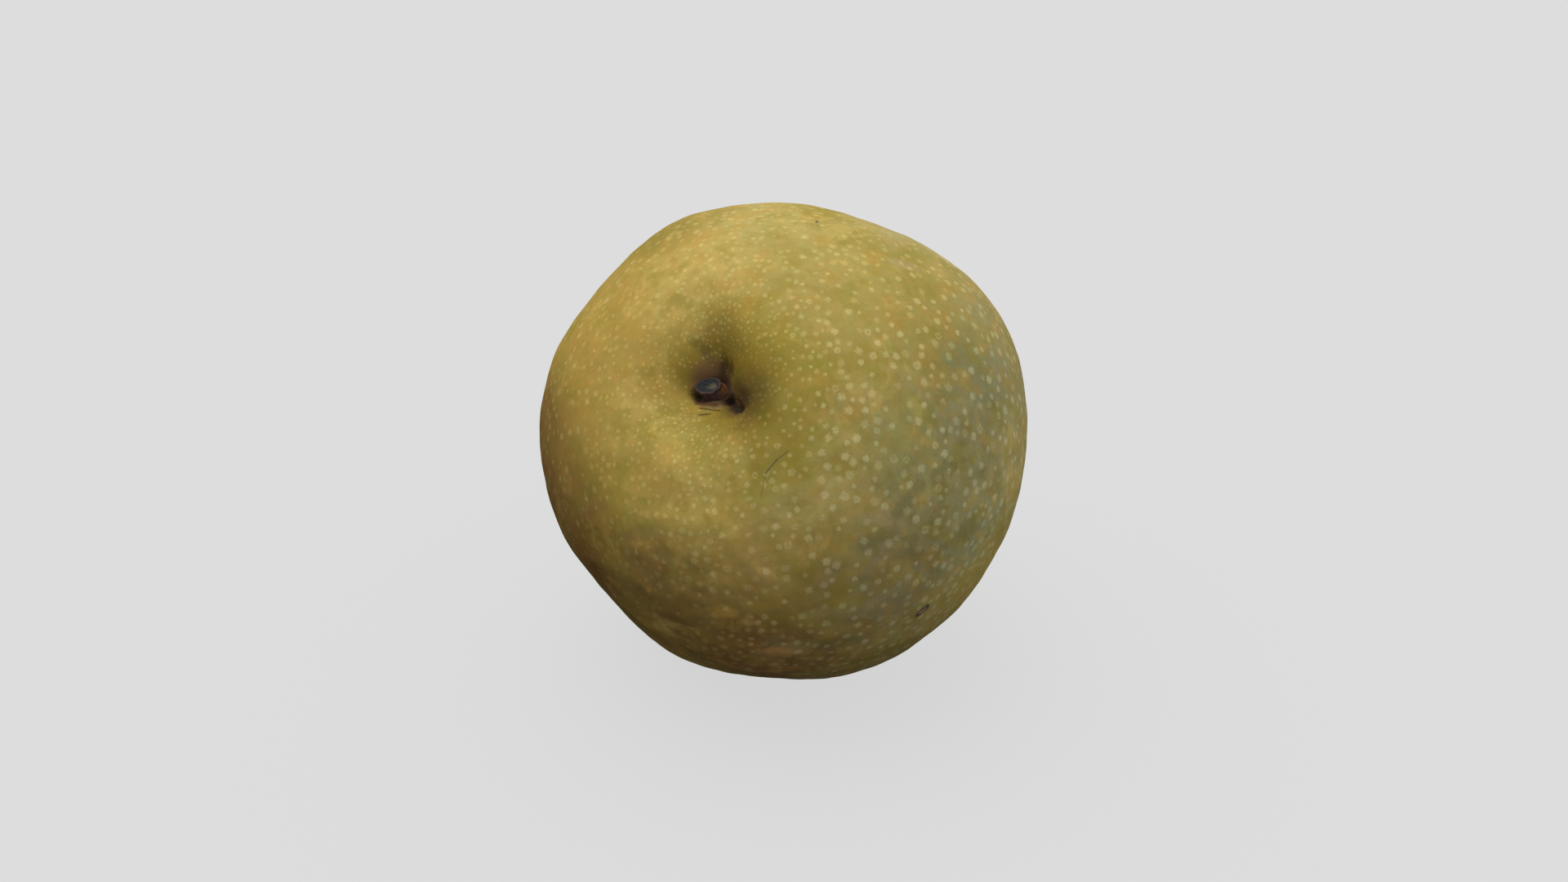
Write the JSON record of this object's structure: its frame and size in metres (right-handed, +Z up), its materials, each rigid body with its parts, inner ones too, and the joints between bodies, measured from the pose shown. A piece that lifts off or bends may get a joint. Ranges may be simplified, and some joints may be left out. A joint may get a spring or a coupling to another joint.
{
  "type": "pear",
  "caption": "Round greenish-tan Asian pear lying over on one flank, with a clipped stem stub in its cavity and a dried calyx at the far end.",
  "frame": {"origin": "centre of the small flat spot that the pear rests on", "axes": "+Z up, with the pear lying over on one flank; its own axis leans 52 degrees from +Z, with the stem end up and towards -X and -Y"},
  "size_m": [0.0828, 0.0799, 0.0796],
  "materials": {
    "skin": "matte fruit skin, olive green to tan, with fine raised pale dots",
    "stem": "rough woody bark with a clipped end grain",
    "calyx": "dry, brown and papery"
  },
  "bodies": {
    "root": {"fruit": "skin", "stem_stub": "stem", "calyx_disc": "calyx", "sepal_1": "calyx", "sepal_2": "calyx", "sepal_3": "calyx", "sepal_4": "calyx", "sepal_5": "calyx", "stamen_tuft": "calyx"}
  },
  "joints": []
}
